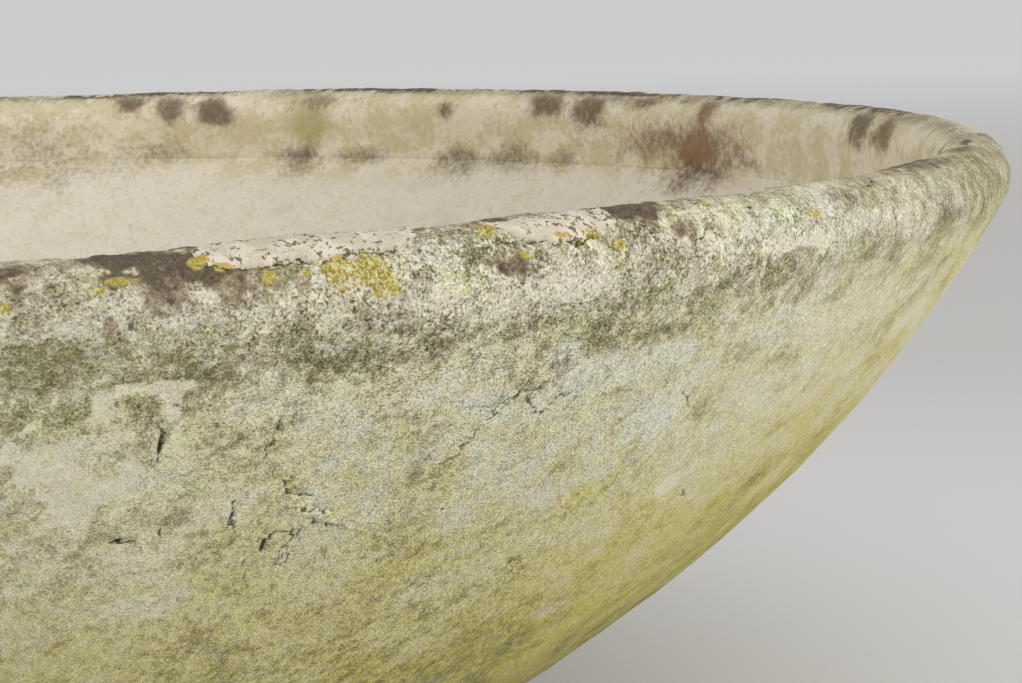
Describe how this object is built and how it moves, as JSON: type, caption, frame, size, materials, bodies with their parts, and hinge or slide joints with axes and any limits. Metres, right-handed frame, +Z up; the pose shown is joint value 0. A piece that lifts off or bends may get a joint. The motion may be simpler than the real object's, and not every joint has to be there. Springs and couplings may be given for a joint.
{
  "type": "bowl planter",
  "caption": "Wide, shallow round bowl planter in hand-laid fibre cement, with a thick rounded lip, a flat foot and a central drain hole.",
  "frame": {"origin": "middle of the flat foot, on the ground", "axes": "+Z up along the bowl's axis; the pictured side faces -Y; the first butt joint of the rim lies 63.5 degrees clockwise of +X seen from above"},
  "size_m": [0.9999, 1, 0.28],
  "materials": {
    "weathered_cement": "weathered fibre cement, rough and matt, with pale lime bloom and green algae streaks",
    "floor_cement": "bare grey fibre cement, matt",
    "rim_cement": "weathered fibre cement with dark crust, pitting and yellow lichen, matt",
    "cream_skim": "smooth cream cement skim, matt, flaking at its edges"
  },
  "bodies": {
    "root": {"bowl_shell": "weathered_cement", "floor_disc": "floor_cement", "rim_strip_1": "rim_cement", "rim_strip_2": "rim_cement", "rim_strip_3": "rim_cement", "crest_skim": "cream_skim"}
  },
  "joints": []
}
